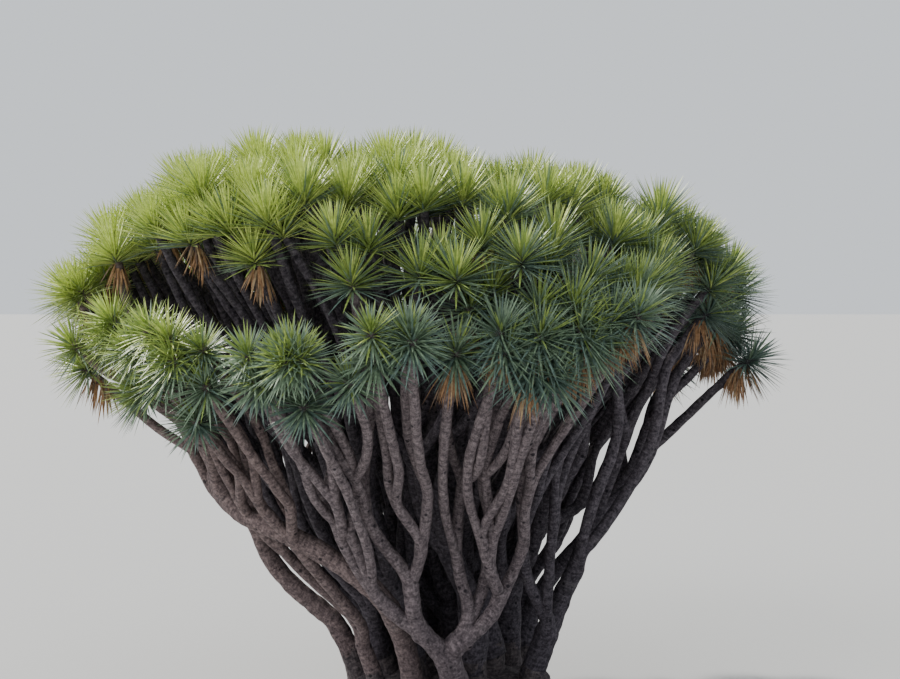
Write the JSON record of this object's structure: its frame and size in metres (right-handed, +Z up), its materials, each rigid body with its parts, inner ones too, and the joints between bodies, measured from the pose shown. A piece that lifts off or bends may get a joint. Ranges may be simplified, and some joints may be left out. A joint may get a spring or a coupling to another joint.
{
  "type": "dragon blood tree",
  "caption": "Whole dragon tree: a short flared trunk, a funnel of forking stems and a dense domed crown of stiff sword-shaped leaves.",
  "frame": {"origin": "middle of the flat cut under the trunk, at ground level", "axes": "+Z up, -Y towards the side that the picture shows, +X to its right"},
  "size_m": [7.7635, 7.4688, 6.2242],
  "materials": {
    "bark": "rough grey-brown bark with rings of old leaf scars",
    "leaf": "stiff sword-shaped leaves, satin, yellow-green in the sun and blue-green in shade"
  },
  "bodies": {
    "root": {"trunk": "bark", "bough_top": "bark", "bough_inner_01": "bark", "bough_inner_02": "bark", "bough_inner_03": "bark", "bough_inner_04": "bark", "bough_inner_05": "bark", "bough_middle_01": "bark", "bough_middle_02": "bark", "bough_middle_03": "bark", "bough_middle_04": "bark", "bough_middle_05": "bark", "bough_middle_06": "bark", "bough_middle_07": "bark", "bough_middle_08": "bark", "bough_middle_09": "bark", "bough_rim_01": "bark", "bough_rim_02": "bark", "bough_rim_03": "bark", "bough_rim_04": "bark", "bough_rim_05": "bark", "bough_rim_06": "bark", "bough_rim_07": "bark", "bough_rim_08": "bark", "bough_rim_09": "bark", "bough_rim_10": "bark", "bough_rim_11": "bark", "bough_rim_12": "bark", "bough_rim_13": "bark", "foliage_top": "leaf", "foliage_inner_01": "leaf", "foliage_inner_02": "leaf", "foliage_inner_03": "leaf", "foliage_inner_04": "leaf", "foliage_inner_05": "leaf", "foliage_middle_01": "leaf", "foliage_middle_02": "leaf", "foliage_middle_03": "leaf", "foliage_middle_04": "leaf", "foliage_middle_05": "leaf", "foliage_middle_06": "leaf", "foliage_middle_07": "leaf", "foliage_middle_08": "leaf", "foliage_middle_09": "leaf", "foliage_rim_01": "leaf", "foliage_rim_02": "leaf", "foliage_rim_03": "leaf", "foliage_rim_04": "leaf", "foliage_rim_05": "leaf", "foliage_rim_06": "leaf", "foliage_rim_07": "leaf", "foliage_rim_08": "leaf", "foliage_rim_09": "leaf", "foliage_rim_10": "leaf", "foliage_rim_11": "leaf", "foliage_rim_12": "leaf", "foliage_rim_13": "leaf"}
  },
  "joints": []
}
